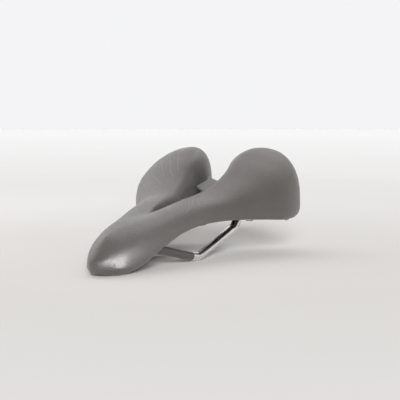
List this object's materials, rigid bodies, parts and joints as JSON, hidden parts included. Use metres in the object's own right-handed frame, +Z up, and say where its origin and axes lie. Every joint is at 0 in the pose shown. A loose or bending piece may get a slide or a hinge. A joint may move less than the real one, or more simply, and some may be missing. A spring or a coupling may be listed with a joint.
{
  "type": "bicycle saddle",
  "caption": "Split-tail bicycle saddle with a drooped nose, open relief slot, two raised wings, a moulded skin over a shell and a bent hairpin rail.",
  "frame": {"origin": "centre of the bounding box in plan, at floor level: the saddle rests on its nose and on the rail's two front bends", "axes": "+X to the rider's left, +Y from the nose towards the tail, +Z up. The rail's clamp lengths rise 14.7 degrees towards +Y; turning the saddle nose-up by 14.7 degrees about +X's line gives its riding position."},
  "size_m": [0.15, 0.2528, 0.0887],
  "materials": {
    "cover_skin": "soft matt grained polyurethane skin, warm grey",
    "foam": "open-cell polyurethane foam, sealed inside",
    "shell_nylon": "black glass-filled nylon, fine moulded texture",
    "bridge_plastic": "cool grey moulded plastic, satin",
    "rail_chrome": "bright chrome with a dull grey band on each front slope",
    "socket_plastic": "black moulded nylon, satin",
    "screw_steel": "plain steel button-head screw",
    "staple_steel": "galvanised steel staple wire"
  },
  "bodies": {
    "root": {"cover": "cover_skin", "foam_pad": "foam", "base_shell": "shell_nylon", "rear_bridge": "bridge_plastic", "rail": "rail_chrome", "rail_socket_left": "socket_plastic", "rail_socket_right": "socket_plastic", "nose_socket": "socket_plastic", "nose_clamp": "socket_plastic", "rail_socket_screw_left_front": "screw_steel", "rail_socket_screw_left_rear": "screw_steel", "rail_socket_screw_right_front": "screw_steel", "rail_socket_screw_right_rear": "screw_steel", "nose_clamp_screw_front": "screw_steel", "nose_clamp_screw_rear": "screw_steel", "bridge_screw_left": "screw_steel", "bridge_screw_right": "screw_steel", "hem_staple_left_01": "staple_steel", "hem_staple_left_02": "staple_steel", "hem_staple_left_03": "staple_steel", "hem_staple_left_04": "staple_steel", "hem_staple_left_05": "staple_steel", "hem_staple_left_06": "staple_steel", "hem_staple_left_07": "staple_steel", "hem_staple_left_08": "staple_steel", "hem_staple_left_09": "staple_steel", "hem_staple_right_01": "staple_steel", "hem_staple_right_02": "staple_steel", "hem_staple_right_03": "staple_steel", "hem_staple_right_04": "staple_steel", "hem_staple_right_05": "staple_steel", "hem_staple_right_06": "staple_steel", "hem_staple_right_07": "staple_steel", "hem_staple_right_08": "staple_steel", "hem_staple_right_09": "staple_steel"}
  },
  "joints": []
}
